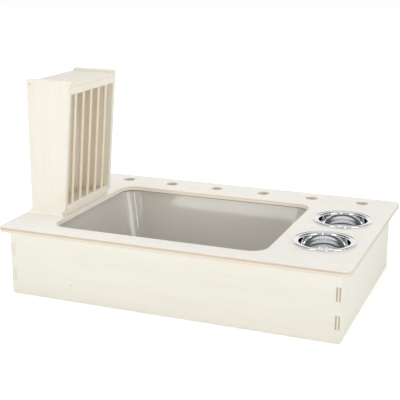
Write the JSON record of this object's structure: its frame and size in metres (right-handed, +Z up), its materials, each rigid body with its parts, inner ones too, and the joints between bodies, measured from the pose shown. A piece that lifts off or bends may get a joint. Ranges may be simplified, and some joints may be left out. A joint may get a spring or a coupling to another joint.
{
  "type": "hay feeder box",
  "caption": "Low plywood feeder box: lift-off top with a lidded hay rack, two steel bowls and a row of snack holes over a litter tray.",
  "frame": {"origin": "centre of the box's footprint, on the floor it stands on", "axes": "+X along the long side from the hay rack to the bowls, +Y from the front panel to the back edge with the snack holes, +Z up"},
  "size_m": [0.66, 0.448, 0.3935],
  "materials": {
    "box_plywood": "sanded birch-faced plywood, bare",
    "plate_plywood": "sanded birch-faced plywood, bare",
    "rack_plywood": "sanded birch-faced plywood, bare",
    "rail_wood": "planed pine",
    "dowel_wood": "turned beech dowel",
    "pin_wood": "beech dowel pin, end grain",
    "pine_batten": "planed pine",
    "grey_plastic": "moulded polypropylene, smooth",
    "polished_steel": "polished stainless steel sheet",
    "screw_metal": "yellow zinc-plated steel"
  },
  "bodies": {
    "box": {"front_panel": "box_plywood", "back_panel": "box_plywood", "left_panel": "box_plywood", "right_panel": "box_plywood"},
    "top": {"top_plate": "plate_plywood", "locating_block_1": "pine_batten", "locating_block_2": "pine_batten", "locating_block_3": "pine_batten", "locating_block_4": "pine_batten", "tray_batten_left": "pine_batten", "tray_batten_right": "pine_batten", "tray_batten_back": "pine_batten", "rack_base": "rack_plywood", "rack_front_end": "rack_plywood", "rack_rear_end": "rack_plywood", "rack_back": "rack_plywood", "rack_bottom_rail": "rail_wood", "rack_top_rail": "rail_wood", "rack_bar_1": "dowel_wood", "rack_bar_2": "dowel_wood", "rack_bar_3": "dowel_wood", "rack_bar_4": "dowel_wood", "rack_bar_5": "dowel_wood", "rack_base_screws": "screw_metal", "end_panel_screws": "screw_metal"},
    "tray": {"litter_tray": "grey_plastic"},
    "bowl_front": {"front_bowl": "polished_steel"},
    "bowl_rear": {"rear_bowl": "polished_steel"},
    "lid": {"rack_lid": "rack_plywood", "lid_hinge_pins": "pin_wood"}
  },
  "joints": [
    {"name": "top_lift", "type": "slide", "parent": "box", "child": "top", "axis": [0, 0, 1], "range_m": [0, 0.3]},
    {"name": "tray_lift", "type": "slide", "parent": "box", "child": "tray", "axis": [0, 0, 1], "range_m": [0, 0.15]},
    {"name": "front_bowl_lift", "type": "slide", "parent": "top", "child": "bowl_front", "axis": [0, 0, 1], "range_m": [0, 0.08]},
    {"name": "rear_bowl_lift", "type": "slide", "parent": "top", "child": "bowl_rear", "axis": [0, 0, 1], "range_m": [0, 0.08]},
    {"name": "lid_hinge", "type": "hinge", "parent": "top", "child": "lid", "pos_m": [-0.3065, -0.034, 0.384], "axis": [0, -1, 0], "range_deg": [0, 205]}
  ],
  "couplings": [
    {"joint": "tray_lift", "follows": "top_lift", "ratio": 0.5}
  ]
}
